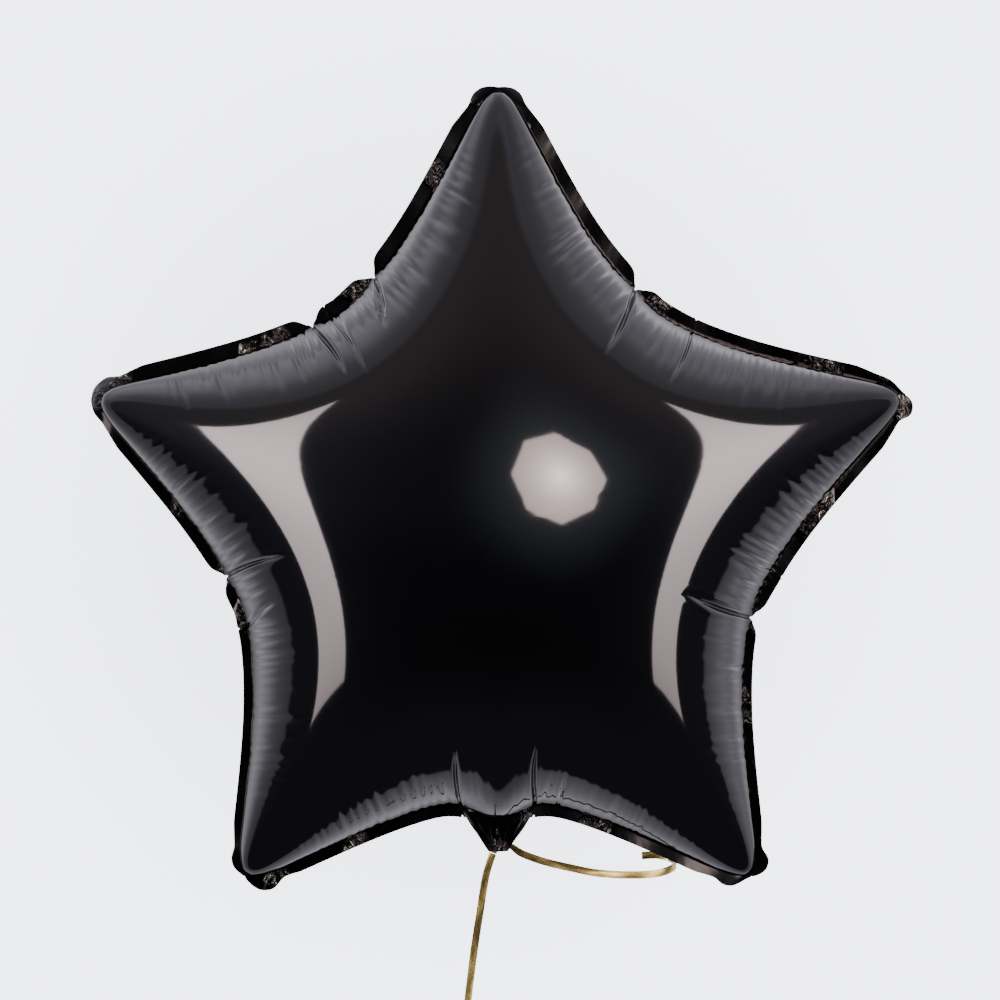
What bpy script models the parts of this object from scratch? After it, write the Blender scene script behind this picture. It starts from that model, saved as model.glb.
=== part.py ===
"""Star foil balloon with a tied ribbon: two sheets of metallised film welded round a
five-pointed star, blown up, gathered to a neck and tied. Upright, front towards -Y,
with the origin where the ribbon ties the neck."""
import math

import bmesh
import bpy
import numpy as np
from mathutils import Vector

# Sizes in metres
TIP_RADIUS = 0.2434         # middle of the star to the end of a point
HALF_DEPTH = 0.080          # seam plane to the crown of either sheet
NECK_LENGTH = 0.0193        # from the weld at the lower corner down to the tie
FILM_WELD = 0.0007          # thickness of the welded flange
FLANGE_WIDTH = 0.0072       # flange beyond the blown body, along the sides
FLANGE_WAVE = 0.0014        # how far the flange's free edge swings to and fro
WAVE_LENGTH = 0.034         # length of one swing along the seam
LOBE_LENGTH = 0.0080        # distance from a point's end to the middle of each lobe
LOBE_SPREAD = 0.0042        # half length of a lobe along the seam
PUCKER_DEPTH = 0.0011       # small gathers along the rim
PUCKER_REACH = 0.034        # how far the gathers run in from the seam
CREASE_HALF_WIDTH = 0.0026  # the deep creases at the inner corners
CREASE_SHOULDER = 0.0038
NECK_TOP_HALF_WIDTH = 0.0208
NECK_TOP_HALF_DEPTH = 0.0075
NECK_TIP_HALF_WIDTH = 0.0054
NECK_TIP_HALF_DEPTH = 0.0027
NECK_BURIED = 0.012         # how far the neck reaches up inside the body
NECK_BOTTOM = -0.0030       # its folded end, below the tie
NECK_STRAIGHT = 0.34        # share of the neck before it starts to narrow
NECK_FOLD_DEPTH = 0.13      # depth of the neck's folds as a share of its radius
NECK_FOLDS = 7
RIBBON_WIDTH = 0.0043
KNOT_HALF = (0.0040, 0.0030, 0.0042)
LOOP_RADIUS = 0.0125
LOOP_WIRE = 0.0011
CLEARANCE = 0.0003

# Form of the star. The plan is a disc mapped to five points: each tip is drawn out by
# a power of its distance, and each inner corner is rounded by another.
POINTS = 5
TIP_POWER = 0.6838
TIP_SHARPNESS = 0.9962
CORNER_POWER = 0.0516
CORNER_SHARPNESS = 0.9999
SWELL_POWER = 0.55          # 0.5 gives elliptical sections, more gives leaner rims
HARMONICS = 700

# How finely the sheets are divided
COLUMNS = 20                # columns along each side, from a tip to a corner
RINGS = 11                  # rings from the seam to the middle
STEPS_PER_RING = 20
TIP_CROWDING = 1.25         # above 1 draws the columns closer together at the tips
CREST_START = 0.955         # where an arm's middle line starts, as a share of its length
COLUMN_BEND = 0.42          # how far each column leaves the seam square before it turns
EDGE_SAMPLES = 4001
FIELD_SAMPLES = 8192
CREASE_START = 0.40         # share of a crease's depth right at the seam
CREASE_FULL = 0.006         # distance from the seam at which a crease is full depth
CORNER_TAPER = 0.030        # stretch over which the flange narrows to a corner or a tip
CALM_STRETCH = 0.025        # stretch beside the corners where the flange lies flat

# Deep creases: arm, degrees from that arm's tip, depth, length
CREASES = (
    (0, -26.4, 0.0075, 0.040),
    (0, 30.0, 0.0062, 0.042),
    (1, -27.6, 0.0040, 0.035),
    (1, 27.0, 0.0026, 0.022),
    (2, -34.0, 0.0064, 0.044),
    (2, 28.4, 0.0050, 0.034),
    (3, -28.2, 0.0050, 0.034),
    (3, 32.3, 0.0030, 0.024),
    (4, -28.2, 0.0062, 0.040),
    (4, 29.3, 0.0070, 0.036),
)
# Lobes of the flange beside each tip: before and after the tip, going clockwise
LOBES = (
    (0.0052, 0.0040),
    (0.0020, 0.0052),
    (0.0062, 0.0050),
    (0.0060, 0.0044),
    (0.0030, 0.0085),
)
# Slight unevenness of the real star: degrees clockwise, share of the radius, spread
UNEVEN = (
    (0.0, 0.021, 16.0),
    (30.0, 0.020, 9.0),
    (72.0, -0.012, 16.0),
    (180.0, 0.155, 6.5),
    (-72.0, -0.024, 16.0),
)

# Routes of the ribbon, from the knot outwards
DROP_ROUTE = (
    (-0.0030, 0.0076, -0.0048), (-0.0052, 0.0071, -0.0115), (-0.0074, 0.0063, -0.0200),
    (-0.0103, 0.0050, -0.0382), (-0.0137, 0.0044, -0.0604), (-0.0171, 0.0040, -0.0878),
    (-0.0184, 0.0040, -0.1000),
)
TAIL_ROUTE = (
    (0.0054, 0.0076, 0.0006), (0.0090, 0.0068, -0.0016), (0.0140, 0.0046, -0.0048),
    (0.0268, 0.0010, -0.0091), (0.0422, -0.0014, -0.0125), (0.0576, -0.0018, -0.0154),
    (0.0758, 0.0000, -0.0165), (0.0906, 0.0046, -0.0160), (0.0995, 0.0100, -0.0136),
    (0.1020, 0.0160, -0.0108), (0.0985, 0.0208, -0.0084), (0.0915, 0.0236, -0.0070),
    (0.0827, 0.0250, -0.0074),
)


def stretch(w):
    """Rate at which the disc is drawn out into the star at the complex place w."""
    turned = w ** POINTS
    tips = (1 - TIP_SHARPNESS * turned) ** (-TIP_POWER)
    corners = (1 + CORNER_SHARPNESS * turned) ** CORNER_POWER
    return tips * corners


def running_sum(values, places):
    """Running trapezium sum of values over places, starting at zero."""
    steps = (values[1:] + values[:-1]) / 2 * np.diff(places)
    return np.concatenate(([0], np.cumsum(steps)))


def edge_table():
    """Half of one arm's outline: disc angle, place and length from the tip."""
    q = np.linspace(0, 1, EDGE_SAMPLES)
    to_tip = running_sum(stretch(1 - q ** 3) * 3 * q ** 2, q)[-1].real
    angle = math.pi / POINTS * q ** 3
    on_rim = np.exp(1j * angle)
    place = to_tip + running_sum(stretch(on_rim) * 1j * on_rim, angle)
    scale = TIP_RADIUS / to_tip
    place = place * scale
    length = np.concatenate(([0], np.cumsum(np.abs(np.diff(place)))))
    return angle, place, length, scale


EDGE_ANGLE, EDGE_PLACE, EDGE_LENGTH, SCALE = edge_table()
SIDE = EDGE_LENGTH[-1]


def uneven(place):
    """Small radial changes that make the five arms unlike."""
    radius = np.abs(place)
    bearing = np.degrees(np.angle(place))
    share = np.zeros(radius.shape)
    for degrees, amount, spread in UNEVEN:
        off = (bearing - degrees + 180) % 360 - 180
        share = share + amount * np.exp(-(off / spread) ** 2)
    return place * (1 + share * np.clip(radius / TIP_RADIUS, 0, 1) ** 2)


LOWER_CORNER = abs(uneven(np.array([-abs(EDGE_PLACE[-1]) + 0j]))[0])
CENTRE_HEIGHT = NECK_LENGTH + LOWER_CORNER
NECK_TOP = NECK_LENGTH + NECK_BURIED


def edge_at(lengths):
    """Disc angle, place and outward normal at signed lengths from an arm's tip."""
    away = np.abs(lengths)
    side = np.where(lengths < 0, -1.0, 1.0)
    angle = np.interp(away, EDGE_LENGTH, EDGE_ANGLE)
    along = np.interp(away, EDGE_LENGTH, EDGE_PLACE.real)
    across = np.interp(away, EDGE_LENGTH, EDGE_PLACE.imag)
    on_rim = np.exp(1j * angle)
    normal = on_rim * stretch(on_rim)
    normal = normal / np.abs(normal)
    normal = np.where(side < 0, normal.conj(), normal)
    return angle * side, along + 1j * across * side, normal


def swell_series():
    """Series of the smooth field that equals the squared radius on the outline."""
    turned = np.arange(FIELD_SAMPLES) * 2 * math.pi / FIELD_SAMPLES
    folded = np.minimum(turned, 2 * math.pi - turned) / POINTS
    squared = np.interp(folded, EDGE_ANGLE, np.abs(EDGE_PLACE) ** 2)
    return np.fft.rfft(squared).real[:HARMONICS] / FIELD_SAMPLES


SERIES = swell_series()


def swell(w, place):
    """How far the film has lifted at w, and the direction in plan of its slope."""
    turned = w ** POINTS
    power = np.ones_like(turned)
    field = np.full(w.shape, SERIES[0])
    slope = np.zeros_like(turned)
    for n in range(1, HARMONICS):
        slope = slope + 2 * SERIES[n] * n * power
        power = power * turned
        field = field + 2 * SERIES[n] * power.real
    slope = slope * POINTS * w ** (POINTS - 1) / (stretch(w) * SCALE)
    lift = np.maximum((field - np.abs(place) ** 2) / 4, 0)
    return lift, (slope.conj() - 2 * place) / 4


LIFT_SCALE = HALF_DEPTH / (SERIES[0] / 4) ** SWELL_POWER


def column_lengths(arm):
    """Lengths from the tip of this arm's columns, with three on each deep crease."""
    index = np.arange(-COLUMNS, COLUMNS + 1)
    lengths = SIDE * np.sign(index) * (np.abs(index) / COLUMNS) ** TIP_CROWDING
    for owner, degrees, _depth, _length in CREASES:
        if owner != arm:
            continue
        middle = crease_length(degrees)
        nearest = int(np.argmin(np.abs(lengths - middle)))
        nearest = min(max(nearest, 2), 2 * COLUMNS - 2)
        lengths[nearest] = middle
        if nearest - 1 > 0:
            lengths[nearest - 1] = middle - CREASE_SHOULDER
        if nearest + 1 < 2 * COLUMNS:
            lengths[nearest + 1] = middle + CREASE_SHOULDER
    return lengths


def crease_length(degrees):
    """Length from the tip at which the outline is this many degrees round."""
    bearing = np.degrees(np.angle(EDGE_PLACE))
    return math.copysign(float(np.interp(abs(degrees), bearing, EDGE_LENGTH)), degrees)


def dents(arm, lengths, inward, parity):
    """Depth of the creases and gathers at each column and distance from the seam."""
    total = np.zeros(inward.shape)
    for owner, degrees, depth, reach in CREASES:
        turn = (owner - arm + 2) % POINTS - 2
        if abs(turn) > 1:
            continue
        middle = crease_length(degrees) + 2 * SIDE * turn
        off = (lengths[:, None] - middle) / CREASE_HALF_WIDTH
        across = np.exp(-off ** 2) - 0.22 * np.exp(-(np.abs(off) - 2.2) ** 2)
        fade = np.clip(1 - inward / reach, 0, 1) ** 1.5
        start = CREASE_START + (1 - CREASE_START) * np.clip(inward / CREASE_FULL, 0, 1)
        total = total + depth * across * fade * start
    along = np.clip(np.abs(lengths) / SIDE, 0, 1)
    strength = np.sin(math.pi * along) ** 0.7
    across = np.sin(math.pi * np.clip(inward / PUCKER_REACH, 0, 1) ** 0.6)
    total = total + PUCKER_DEPTH * parity[:, None] * strength[:, None] * across
    return total


def flange_width(arm, lengths):
    """Width of the flange: full along the sides, nothing at the inner corners."""
    from_tip = np.abs(lengths)
    to_corner = (SIDE - from_tip) / CORNER_TAPER
    width = FLANGE_WIDTH * (0.10 + 0.90 * np.clip(to_corner, 0, 1) ** 0.7)
    width = width * (0.45 + 0.55 * np.clip(from_tip / CORNER_TAPER, 0, 1))
    before, after = LOBES[arm]
    lobe = np.where(lengths < 0, before, after)
    width = width + lobe * np.exp(-((from_tip - LOBE_LENGTH) / LOBE_SPREAD) ** 2)
    return width


def to_world(arm, place, depth):
    """Plan place in an arm's own frame and distance from the seam plane, as X, Y, Z."""
    turned = uneven(place * np.exp(2j * math.pi * arm / POINTS))
    return np.stack((turned.imag, depth, turned.real + CENTRE_HEIGHT), axis=-1)


def arm_sections(arm):
    """One closed row of points for each column of an arm, front crown to back crown."""
    lengths = column_lengths(arm)
    angle, seam, normal = edge_at(lengths)
    share = np.abs(np.arange(-COLUMNS, COLUMNS + 1)) / COLUMNS
    inset = CREST_START * TIP_RADIUS
    crest = inset * (1 - 0.5 * share - 0.5 * share ** 3)
    reach = np.abs(seam - crest)
    power = 1.5 + 0.9 * np.sqrt(reach / reach.max())
    bend = seam - normal * reach * COLUMN_BEND

    steps = RINGS * STEPS_PER_RING
    w = np.exp(1j * angle)
    place = seam.copy()
    disc_places = [w]
    places = [place]
    for step in range(1, steps + 1):
        t = (step / steps) ** power
        new = (1 - t) ** 2 * seam + 2 * t * (1 - t) * bend + t ** 2 * crest
        half = w + (new - place) / 2 / (stretch(w) * SCALE)
        w = w + (new - place) / (stretch(half) * SCALE)
        place = new
        if step % STEPS_PER_RING == 0:
            disc_places.append(w)
            places.append(place)
    w = np.stack(disc_places, axis=1)
    place = np.stack(places, axis=1)
    place[:, -1] = crest

    lift, slope = swell(w, place)
    lift[:, 0] = 0
    height = LIFT_SCALE * lift ** SWELL_POWER
    safe = np.maximum(lift, 1e-9)
    rise = LIFT_SCALE * SWELL_POWER * safe ** (SWELL_POWER - 1) * slope
    size = np.sqrt(1 + np.abs(rise) ** 2)
    out_plan = -rise / size
    out_up = 1 / size
    out_plan[:, 0] = normal
    out_up[:, 0] = 0
    inward = np.abs(place - seam[:, None])

    parity = np.arange(2 * COLUMNS + 1) % 2
    sheets = []
    for facing, odd in ((-1, parity), (1, 1 - parity)):
        dent = dents(arm, lengths, inward, odd)
        dent[:, -1] = 0
        moved = place - dent * out_plan
        deep = np.maximum(height - dent * out_up, FILM_WELD / 2)
        sheets.append(to_world(arm, moved, facing * deep))
    root = place[:, 0] - dents(arm, lengths, inward, parity)[:, 0] * normal
    free = root + normal * flange_width(arm, lengths)
    calm = np.clip((SIDE - np.abs(lengths)) / CALM_STRETCH, 0, 1)
    travelled = (2 * SIDE * arm + lengths) / WAVE_LENGTH
    swing = FLANGE_WAVE * calm * np.sin(2 * math.pi * travelled)
    rim_front = to_world(arm, free, swing - FILM_WELD / 2)
    rim_back = to_world(arm, free, swing + FILM_WELD / 2)
    front, back = sheets
    return np.concatenate(
        (front[:, ::-1], rim_front[:, None], rim_back[:, None], back), axis=1)


def mesh_object(name, bm, material, collection):
    """Close the bmesh, keep its faces outwards and place it as one named object."""
    bmesh.ops.recalc_face_normals(bm, faces=bm.faces)
    mesh = bpy.data.meshes.new(name)
    bm.to_mesh(mesh)
    bm.free()
    mesh.materials.append(material)
    made = bpy.data.objects.new(name, mesh)
    collection.objects.link(made)
    return made


def film_material(name, colour, roughness, metallic):
    """A plain finish: base colour, roughness and metallic value."""
    made = bpy.data.materials.new(name)
    made.use_nodes = True
    finish = made.node_tree.nodes["Principled BSDF"]
    finish.inputs["Base Color"].default_value = colour
    finish.inputs["Roughness"].default_value = roughness
    finish.inputs["Metallic"].default_value = metallic
    return made


def blown_star(material, collection):
    """Both sheets and the welded flange, woven from the sections of the five arms."""
    bm = bmesh.new()
    for arm in range(POINTS):
        sections = arm_sections(arm)
        rows = [[bm.verts.new(point) for point in row] for row in sections]
        for left, right in zip(rows, rows[1:]):
            for k in range(len(left) - 1):
                bm.faces.new((left[k], left[k + 1], right[k + 1], right[k]))
    bmesh.ops.remove_doubles(bm, verts=bm.verts, dist=0.00002)
    bmesh.ops.dissolve_degenerate(bm, edges=bm.edges, dist=0.00001)
    bmesh.ops.triangulate(bm, faces=bm.faces)
    return mesh_object("foil_envelope", bm, material, collection)


def neck_narrowing(height):
    """Share of the neck's narrowing reached at a height above the tie."""
    t = (NECK_TOP - height) / (NECK_TOP - NECK_BOTTOM)
    return max(t - NECK_STRAIGHT, 0) / (1 - NECK_STRAIGHT)


def neck_half_depth(height):
    """Half the neck's depth at a height above the tie."""
    drop = NECK_TIP_HALF_DEPTH - NECK_TOP_HALF_DEPTH
    return NECK_TOP_HALF_DEPTH + drop * neck_narrowing(height)


def neck_form(material, collection):
    """The gathered neck: a folded tube that narrows to the tie and ends in a flat fold."""
    around = 42
    stations = 8
    bm = bmesh.new()
    rows = []
    for station in range(stations):
        height = NECK_TOP + (NECK_BOTTOM - NECK_TOP) * station / (stations - 1)
        narrowing = neck_narrowing(height)
        half_width = NECK_TOP_HALF_WIDTH
        half_width += (NECK_TIP_HALF_WIDTH - NECK_TOP_HALF_WIDTH) * narrowing
        half_depth = neck_half_depth(height)
        row = []
        for k in range(around):
            turn = 2 * math.pi * k / around
            fold = 1 - NECK_FOLD_DEPTH * narrowing * (0.5 - 0.5 * math.cos(NECK_FOLDS * turn))
            x = half_width * math.cos(turn) * fold
            y = half_depth * math.sin(turn) * fold
            row.append(bm.verts.new((x, y, height)))
        rows.append(row)
    for upper, lower in zip(rows, rows[1:]):
        for k in range(around):
            after = (k + 1) % around
            bm.faces.new((upper[k], upper[after], lower[after], lower[k]))
    bm.faces.new(rows[0])
    bm.faces.new(rows[-1])
    bmesh.ops.triangulate(bm, faces=bm.faces)
    return mesh_object("neck_form", bm, material, collection)


def join_by_union(base, additions, cutters):
    """Union each addition into the base and keep the additions as hidden guides."""
    for added in additions:
        added.hide_render = True
        added.display_type = "WIRE"
        for owner in list(added.users_collection):
            owner.objects.unlink(added)
        cutters.objects.link(added)
        union = base.modifiers.new("union_" + added.name, "BOOLEAN")
        union.operation = "UNION"
        union.solver = "EXACT"
        union.object = added


def smooth_route(route, spacing):
    """Points at even steps on a smooth curve through a route's own points."""
    points = np.array(route)
    ends = np.vstack((2 * points[0] - points[1], points, 2 * points[-1] - points[-2]))
    fine = []
    for a, b, c, d in zip(ends, ends[1:], ends[2:], ends[3:]):
        for t in np.linspace(0, 1, 24, endpoint=False):
            cubic = (2 * b + (c - a) * t + (2 * a - 5 * b + 4 * c - d) * t ** 2
                     + (3 * b - a - 3 * c + d) * t ** 3) / 2
            fine.append(cubic)
    fine.append(points[-1])
    fine = np.array(fine)
    walked = np.concatenate(([0], np.cumsum(np.linalg.norm(np.diff(fine, axis=0), axis=1))))
    count = max(2, round(walked[-1] / spacing) + 1)
    even = np.linspace(0, walked[-1], count)
    return np.stack([np.interp(even, walked, fine[:, k]) for k in range(3)], axis=1)


def ribbon_tube(name, route, material, collection):
    """A plain round tube along the ribbon, as wide as the ribbon."""
    curve = bpy.data.curves.new(name, "CURVE")
    curve.dimensions = "3D"
    curve.bevel_depth = RIBBON_WIDTH / 2
    curve.bevel_resolution = 2
    curve.use_fill_caps = True
    places = smooth_route(route, RIBBON_WIDTH * 1.6)
    spline = curve.splines.new("POLY")
    spline.points.add(len(places) - 1)
    for point, place in zip(spline.points, places):
        point.co = (*place, 1)
    curve.materials.append(material)
    made = bpy.data.objects.new(name, curve)
    collection.objects.link(made)
    return made


def primitive(name, add, material, collection, **settings):
    """A primitive, moved into the object's collection under its own name."""
    add(**settings)
    made = bpy.context.object
    made.name = name
    made.data.materials.append(material)
    for owner in list(made.users_collection):
        owner.objects.unlink(made)
    collection.objects.link(made)
    return made


def exit_stub(name, route, middle, material, collection):
    """The short end of ribbon inside the knot that meets a route's first point."""
    places = smooth_route(route, RIBBON_WIDTH * 1.6)
    direction = places[1] - places[0]
    direction = direction / np.linalg.norm(direction)
    face = places[0] - direction * CLEARANCE
    length = float(np.linalg.norm(face - np.array(middle)))
    centre = face - direction * length / 2
    stub = primitive(name, bpy.ops.mesh.primitive_cylinder_add, material, collection,
                     vertices=12, radius=RIBBON_WIDTH / 2, depth=length,
                     location=tuple(centre))
    stub.rotation_euler = Vector(direction).to_track_quat("Z", "Y").to_euler()
    return stub


def ribbon_knot(material, collection, cutters):
    """The knot behind the neck: a tight lump with two turns of ribbon across it."""
    seat = neck_half_depth(KNOT_HALF[2]) + CLEARANCE
    middle = (-0.0006, seat + KNOT_HALF[1], 0.0002)
    core = primitive("ribbon_knot", bpy.ops.mesh.primitive_uv_sphere_add, material,
                     collection, segments=16, ring_count=10, radius=1, location=middle)
    core.scale = KNOT_HALF
    turns = []
    for index, tilt in enumerate((32, -40)):
        turn = primitive(f"knot_turn_{index}", bpy.ops.mesh.primitive_torus_add, material,
                         collection, major_segments=20, minor_segments=6,
                         major_radius=KNOT_HALF[0] * 0.80, minor_radius=0.0009,
                         location=(middle[0], middle[1] + 0.0008, middle[2]))
        turn.rotation_euler = (math.radians(90), math.radians(tilt), math.radians(90))
        turns.append(turn)
    for name, route in (("drop_stub", DROP_ROUTE), ("tail_stub", TAIL_ROUTE)):
        turns.append(exit_stub(name, route, middle, material, collection))
    join_by_union(core, turns, cutters)
    return core


def ribbon_end_loop(material, collection, cutters):
    """The hand loop at the ribbon's lower end, below its own small knot."""
    end = np.array(DROP_ROUTE[-1])
    knot_half = 0.0030
    knot_place = end + np.array((0, 0, -CLEARANCE - knot_half))
    knot = primitive("ribbon_end_loop", bpy.ops.mesh.primitive_uv_sphere_add, material,
                     collection, segments=14, ring_count=8, radius=knot_half,
                     location=tuple(knot_place))
    loop_place = knot_place + np.array((0, 0, -LOOP_RADIUS - knot_half * 0.6))
    loop = primitive("loop_turn", bpy.ops.mesh.primitive_torus_add, material, collection,
                     major_segments=40, minor_segments=8, major_radius=LOOP_RADIUS,
                     minor_radius=LOOP_WIRE, location=tuple(loop_place))
    loop.rotation_euler = (math.radians(90), 0, 0)
    join_by_union(knot, [loop], cutters)
    return knot


def build():
    """Clear the scene and build the balloon."""
    for old in list(bpy.data.objects):
        bpy.data.objects.remove(old, do_unlink=True)
    parts = bpy.data.collections.new("star_foil_balloon")
    cutters = bpy.data.collections.new("guides")
    bpy.context.scene.collection.children.link(parts)
    bpy.context.scene.collection.children.link(cutters)

    foil = film_material("black_foil", (0.012, 0.011, 0.013, 1), 0.12, 0.9)
    gold = film_material("gold_ribbon", (0.48, 0.36, 0.12, 1), 0.28, 1.0)

    envelope = blown_star(foil, parts)
    join_by_union(envelope, [neck_form(foil, parts)], cutters)
    ribbon_knot(gold, parts, cutters)
    ribbon_tube("ribbon_drop", DROP_ROUTE, gold, parts)
    ribbon_tube("ribbon_tail", TAIL_ROUTE, gold, parts)
    ribbon_end_loop(gold, parts, cutters)


build()
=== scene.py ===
"""Looks of the star foil balloon: glossy black film, crinkled weld and gold ribbon."""
import math

import bmesh
import bpy
import numpy as np
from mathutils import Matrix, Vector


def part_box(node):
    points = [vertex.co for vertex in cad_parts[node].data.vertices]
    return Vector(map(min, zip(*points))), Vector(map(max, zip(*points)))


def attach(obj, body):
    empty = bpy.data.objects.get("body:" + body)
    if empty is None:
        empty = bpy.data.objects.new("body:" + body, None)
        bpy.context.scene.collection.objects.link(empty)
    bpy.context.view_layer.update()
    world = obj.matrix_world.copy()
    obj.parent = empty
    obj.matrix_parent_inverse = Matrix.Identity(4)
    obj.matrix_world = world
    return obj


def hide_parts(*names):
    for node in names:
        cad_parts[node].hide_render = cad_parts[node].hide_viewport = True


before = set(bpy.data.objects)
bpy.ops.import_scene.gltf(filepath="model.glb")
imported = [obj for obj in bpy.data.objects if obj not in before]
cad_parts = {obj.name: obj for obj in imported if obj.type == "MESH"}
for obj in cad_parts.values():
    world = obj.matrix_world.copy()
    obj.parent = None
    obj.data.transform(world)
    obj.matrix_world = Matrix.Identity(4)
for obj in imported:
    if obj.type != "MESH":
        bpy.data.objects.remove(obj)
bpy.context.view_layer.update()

# Camera. The photograph looks straight at the front of the balloon from some way off.
# Its pixels are 0.57 mm across at the seam plane, with the tie at pixel (498, 846).
PIXEL = 0.00057
PICTURE_SIZE = 1000
TIE_PIXEL = (498, 846)
CAMERA_DISTANCE = 2.6
SENSOR_WIDTH = 36.0
camera_data = bpy.data.cameras.new("photo_camera")
camera_data.sensor_width = SENSOR_WIDTH
camera_data.lens = SENSOR_WIDTH * CAMERA_DISTANCE / (PICTURE_SIZE * PIXEL)
camera = bpy.data.objects.new("photo_camera", camera_data)
camera.location = ((PICTURE_SIZE / 2 - TIE_PIXEL[0]) * PIXEL, -CAMERA_DISTANCE,
                   (TIE_PIXEL[1] - PICTURE_SIZE / 2) * PIXEL)
camera.rotation_euler = (math.radians(90), 0, 0)
bpy.context.scene.collection.objects.link(camera)
bpy.context.scene.camera = camera

# The ribbon is a flat metallised curling ribbon, tied round the neck in a knot. Its long
# run is held taut from the knot to the hand loop below the picture.
RIBBON_WIDTH = 0.0043
RIBBON_THICKNESS = 0.00022
RIBBON_CUP = 0.05
RIBBON_STEP = 0.0012
DROP_ROUTE = (
    (-0.0030, 0.0076, -0.0048), (-0.0052, 0.0071, -0.0115), (-0.0074, 0.0063, -0.0200),
    (-0.0103, 0.0050, -0.0382), (-0.0137, 0.0044, -0.0604), (-0.0171, 0.0040, -0.0878),
    (-0.0184, 0.0040, -0.1000),
)


def smooth_route(route, spacing):
    """Points at even steps on a smooth curve through a route's own points."""
    points = np.array(route)
    ends = np.vstack((2 * points[0] - points[1], points, 2 * points[-1] - points[-2]))
    fine = []
    for a, b, c, d in zip(ends, ends[1:], ends[2:], ends[3:]):
        for t in np.linspace(0, 1, 24, endpoint=False):
            cubic = (2 * b + (c - a) * t + (2 * a - 5 * b + 4 * c - d) * t ** 2
                     + (3 * b - a - 3 * c + d) * t ** 3) / 2
            fine.append(cubic)
    fine.append(points[-1])
    fine = np.array(fine)
    walked = np.concatenate(([0], np.cumsum(np.linalg.norm(np.diff(fine, axis=0), axis=1))))
    count = max(2, round(walked[-1] / spacing) + 1)
    even = np.linspace(0, walked[-1], count)
    return np.stack([np.interp(even, walked, fine[:, k]) for k in range(3)], axis=1)


def unit(rows):
    """Rows scaled to length one."""
    return rows / np.linalg.norm(rows, axis=-1, keepdims=True)


def ribbon_band(name, places, across, closed=False):
    """A thin flat band along places, its width lying along the given directions."""
    if closed:
        forward = unit(np.roll(places, -1, axis=0) - np.roll(places, 1, axis=0))
    else:
        forward = unit(np.gradient(places, axis=0))
    side = across - forward * (across * forward).sum(axis=1, keepdims=True)
    side = unit(side)
    face = np.cross(forward, side)
    shares = np.linspace(-0.5, 0.5, 5)
    bm = bmesh.new()
    line = np.vstack((places, places[:1])) if closed else places
    walked = np.concatenate(([0], np.cumsum(np.linalg.norm(np.diff(line, axis=0), axis=1))))
    layer = bm.loops.layers.uv.new("ribbon")
    rows = []
    for place, s, f in zip(places, side, face):
        ring = []
        for sign, order in ((1, shares), (-1, shares[::-1])):
            for share in order:
                cup = RIBBON_WIDTH * RIBBON_CUP * (1 - (2 * share) ** 2)
                ring.append(bm.verts.new(place + s * share * RIBBON_WIDTH
                                         + f * (sign * RIBBON_THICKNESS / 2 + cup)))
        rows.append(ring)
    # A ring's ten points run across one face and back across the other
    count = len(rows[0])
    for a in range(len(line) - 1):
        b = (a + 1) % len(rows)
        reached = (walked[a], walked[a], walked[a + 1], walked[a + 1])
        for k in range(count):
            after = (k + 1) % count
            made = bm.faces.new((rows[a][k], rows[a][after], rows[b][after], rows[b][k]))
            for loop, length, column in zip(made.loops, reached, (k, after, after, k)):
                loop[layer].uv = (length, min(column, count - 1 - column) * RIBBON_WIDTH / 4)
    if not closed:
        bm.faces.new(rows[0])
        bm.faces.new(rows[-1])
    bmesh.ops.recalc_face_normals(bm, faces=bm.faces)
    mesh = bpy.data.meshes.new(name)
    bm.to_mesh(mesh)
    bm.free()
    mesh.shade_smooth()
    mesh.set_sharp_from_angle(angle=math.radians(50))
    band = bpy.data.objects.new(name, mesh)
    bpy.context.scene.collection.objects.link(band)
    return band


def new_finish(name):
    """A material with its Principled shader, ready for its own nodes."""
    made = bpy.data.materials.new(name)
    made.use_nodes = True
    return made, made.node_tree, made.node_tree.nodes["Principled BSDF"]


def node(tree, kind, group=None, **inputs):
    """A node of this kind, or of this group, with some of its inputs set by name."""
    made = tree.nodes.new(kind)
    if group:
        made.node_tree = group
    for key, value in inputs.items():
        made.inputs[key.replace("_", " ")].default_value = value
    return made


def shader_group(name, inputs, outputs):
    """A node group with these sockets, and its own input and output nodes."""
    tree = bpy.data.node_groups.new(name, "ShaderNodeTree")
    for way, sockets in (("INPUT", inputs), ("OUTPUT", outputs)):
        for label, kind in sockets:
            tree.interface.new_socket(label, in_out=way, socket_type=kind)
    return tree, tree.nodes.new("NodeGroupInput"), tree.nodes.new("NodeGroupOutput")


# The gold's colour: a slow noise paints bright and dark bands of reflection into it, and a fine noise
# adds scuffs.
gold_wear_and_painted_sheen, given, sent = shader_group("gold_wear_and_painted_sheen", (("Vector", "NodeSocketVector"),),
                                      (("Color", "NodeSocketColor"), ("Height", "NodeSocketFloat")))
scuffs = node(gold_wear_and_painted_sheen, "ShaderNodeTexNoise", Scale=900.0, Detail=3.0, Roughness=0.6)
gold_wear_and_painted_sheen.links.new(given.outputs["Vector"], scuffs.inputs["Vector"])
turns_of_light = node(gold_wear_and_painted_sheen, "ShaderNodeTexNoise", Scale=170.0, Detail=1.0, Roughness=0.5,
                      Distortion=0.6)
gold_wear_and_painted_sheen.links.new(given.outputs["Vector"], turns_of_light.inputs["Vector"])
both = node(gold_wear_and_painted_sheen, "ShaderNodeMix", Factor=0.20)
gold_wear_and_painted_sheen.links.new(turns_of_light.outputs["Fac"], both.inputs[2])
gold_wear_and_painted_sheen.links.new(scuffs.outputs["Fac"], both.inputs[3])
tone = gold_wear_and_painted_sheen.nodes.new("ShaderNodeValToRGB")
tone.color_ramp.elements[0].position = 0.38
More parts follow.
